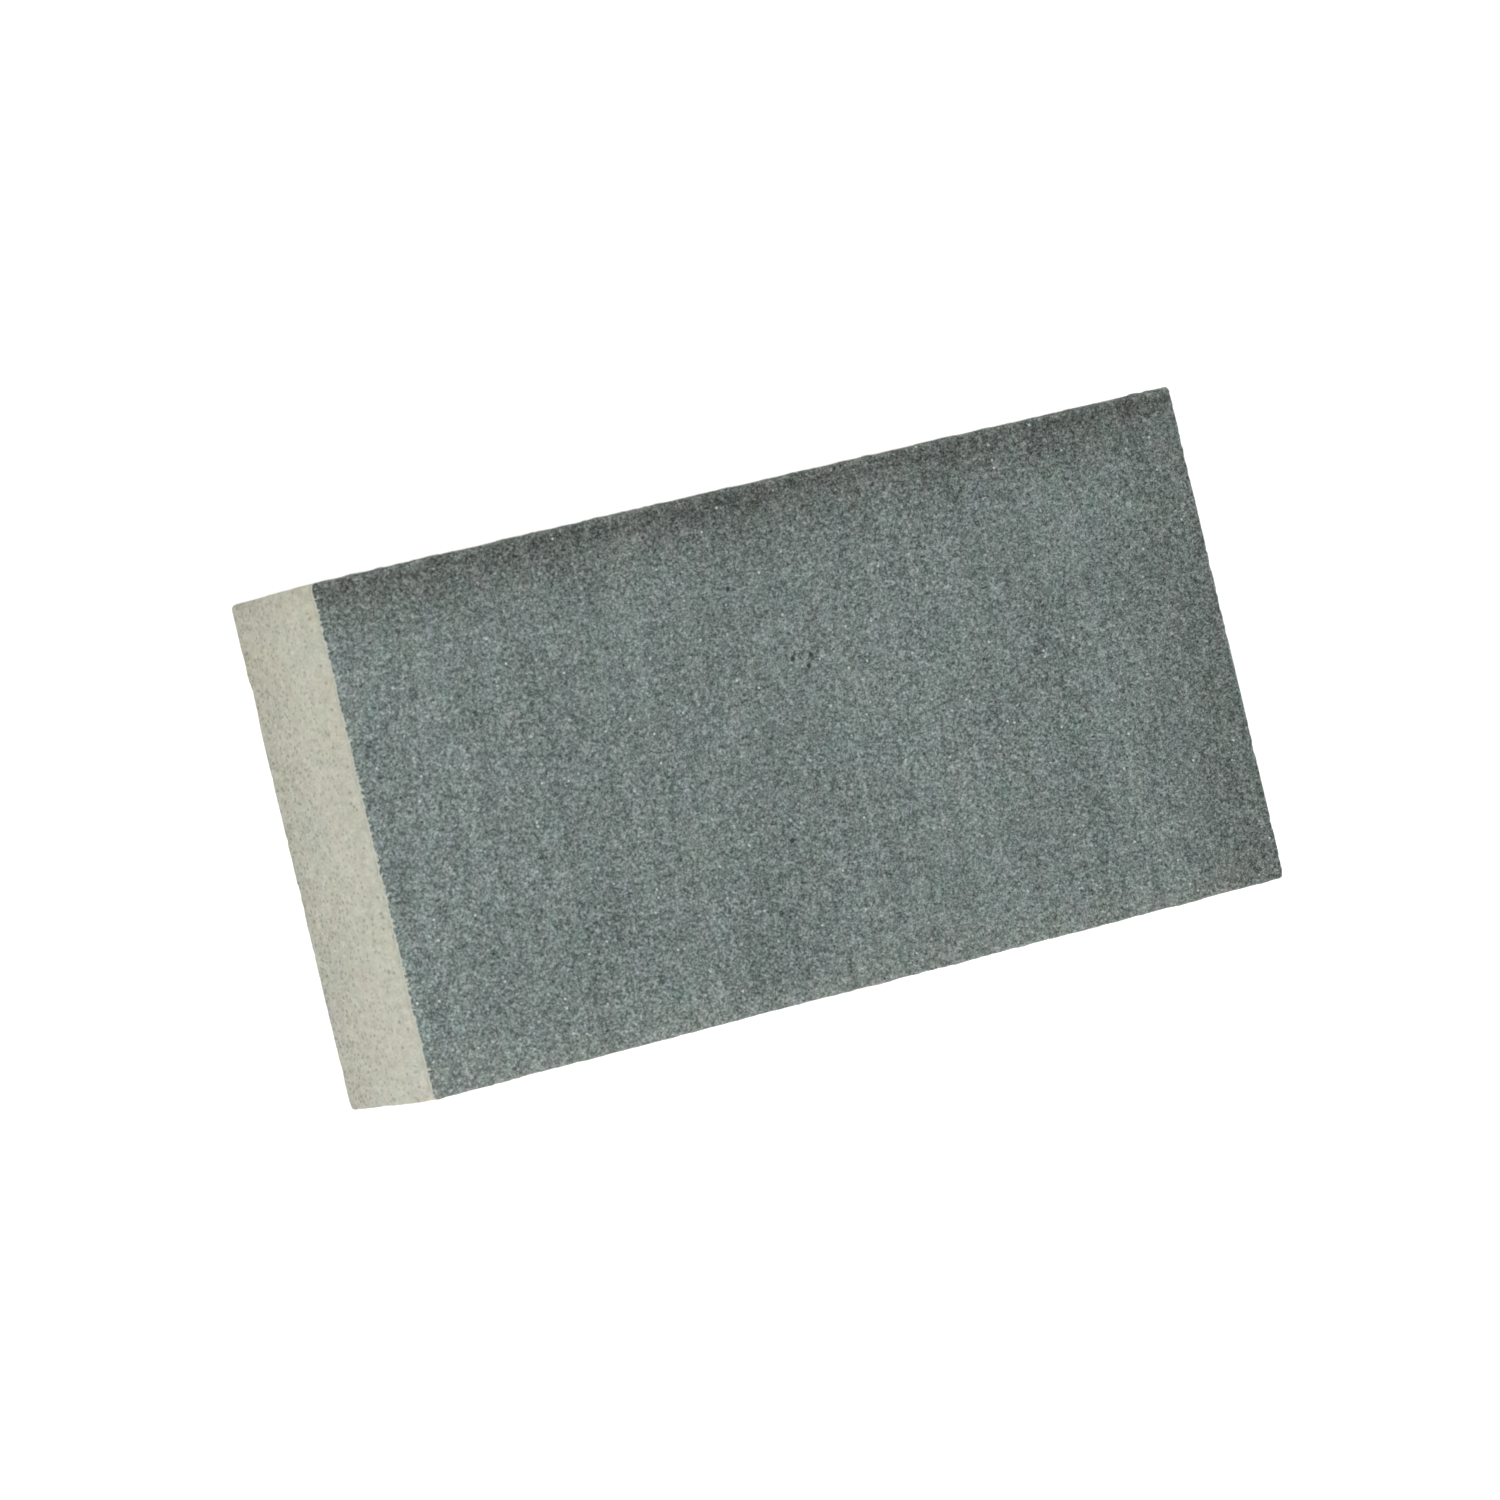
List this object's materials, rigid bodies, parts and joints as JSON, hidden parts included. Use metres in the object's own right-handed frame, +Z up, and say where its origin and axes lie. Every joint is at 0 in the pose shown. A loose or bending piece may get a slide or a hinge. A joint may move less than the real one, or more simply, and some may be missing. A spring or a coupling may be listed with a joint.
{
  "type": "sharpening whetstone",
  "caption": "Flat rectangular sharpening stone: a thin dark coarse-grit facing bonded to a pale fine-grit body, with an eased end.",
  "frame": {"origin": "centre of the bottom rest face", "axes": "+X along the length, away from the eased end; +Y across the width; +Z up, out of the coarse face"},
  "size_m": [0.095, 0.05, 0.019],
  "materials": {
    "fine_grit": "matte pale grey-beige fine grit with tiny dark pores",
    "bond": "dull cured adhesive line",
    "coarse_grit": "matte dark green-grey coarse grit with bright and dark grains"
  },
  "bodies": {
    "root": {"fine_stone": "fine_grit", "bond_film": "bond", "coarse_facing": "coarse_grit"}
  },
  "joints": []
}
